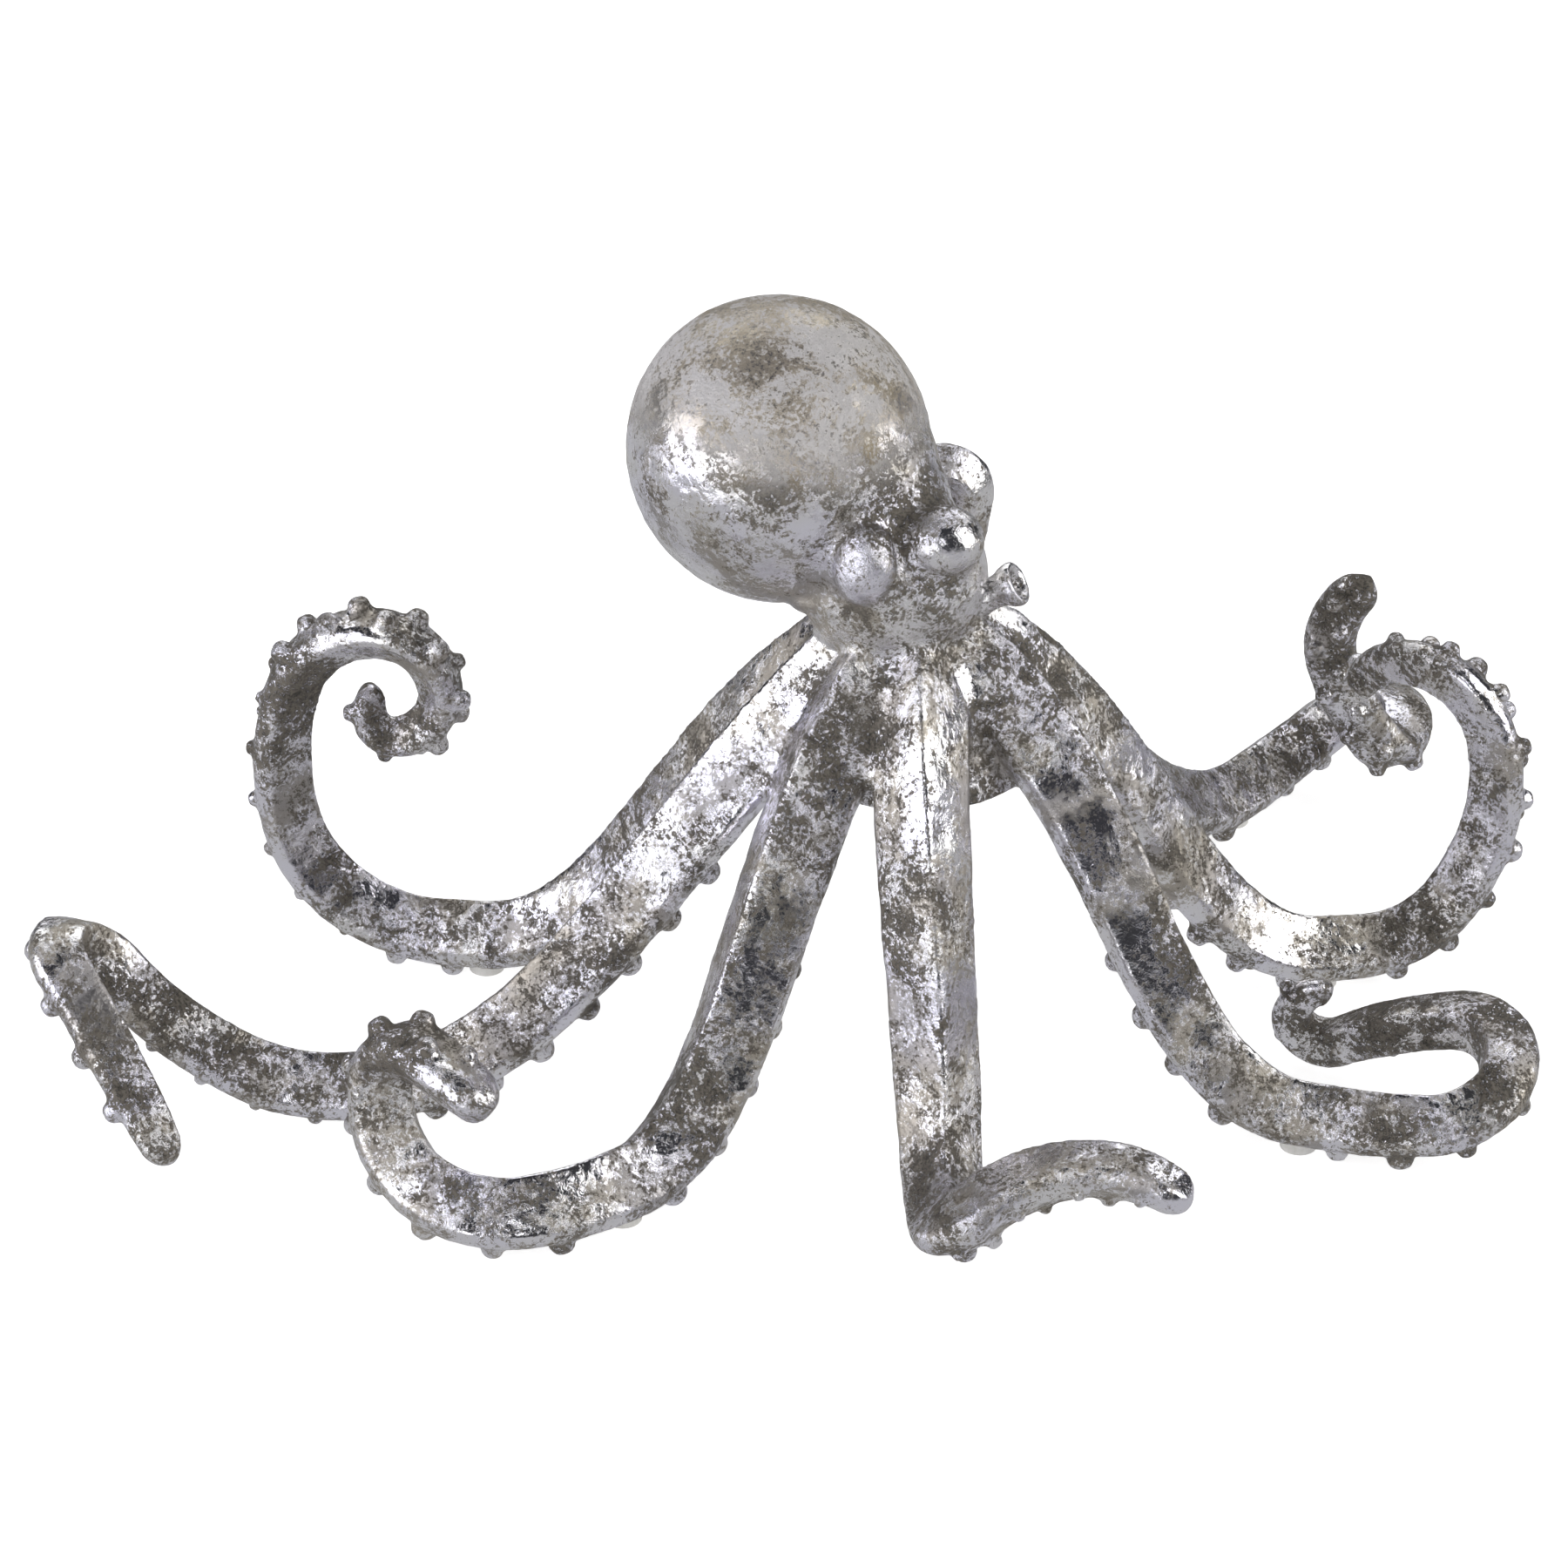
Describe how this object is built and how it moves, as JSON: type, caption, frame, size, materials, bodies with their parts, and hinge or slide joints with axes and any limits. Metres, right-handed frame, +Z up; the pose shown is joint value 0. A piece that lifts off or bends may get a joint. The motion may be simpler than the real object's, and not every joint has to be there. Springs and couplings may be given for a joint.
{
  "type": "octopus ornament",
  "caption": "Free-standing octopus ornament with a rounded mantle, raised eyes, a small siphon and curling sucker-lined arms, in antique silver leaf.",
  "frame": {"origin": "middle of the underside of the bounding box, at table level", "axes": "+Z up; +X to the octopus's left as it faces -Y, along its longest extent; +Y to its back"},
  "size_m": [0.3228, 0.2252, 0.1698],
  "materials": {
    "silver_leaf": "antique silver-coloured leaf over a taupe undercoat, bright, crackled and rubbed through in patches",
    "undercoat": "matt taupe casting resin",
    "steel": "plain ground rod",
    "pad_rubber": "milky, matt"
  },
  "bodies": {
    "root": {"mantle_and_head": "silver_leaf", "siphon": "silver_leaf", "pour_plug": "undercoat", "arm_front": "silver_leaf", "arm_front_left": "silver_leaf", "arm_left": "silver_leaf", "arm_back_left": "silver_leaf", "arm_back": "silver_leaf", "arm_back_right": "silver_leaf", "arm_right": "silver_leaf", "arm_front_right": "silver_leaf", "arm_pin_front": "steel", "arm_pin_front_left": "steel", "arm_pin_left": "steel", "arm_pin_back_left": "steel", "arm_pin_back": "steel", "arm_pin_back_right": "steel", "arm_pin_right": "steel", "arm_pin_front_right": "steel", "foot_pad_front": "pad_rubber", "foot_pad_front_left": "pad_rubber", "foot_pad_left": "pad_rubber", "foot_pad_back_left": "pad_rubber", "foot_pad_back": "pad_rubber", "foot_pad_back_right": "pad_rubber", "foot_pad_right": "pad_rubber", "foot_pad_front_right": "pad_rubber"}
  },
  "joints": []
}
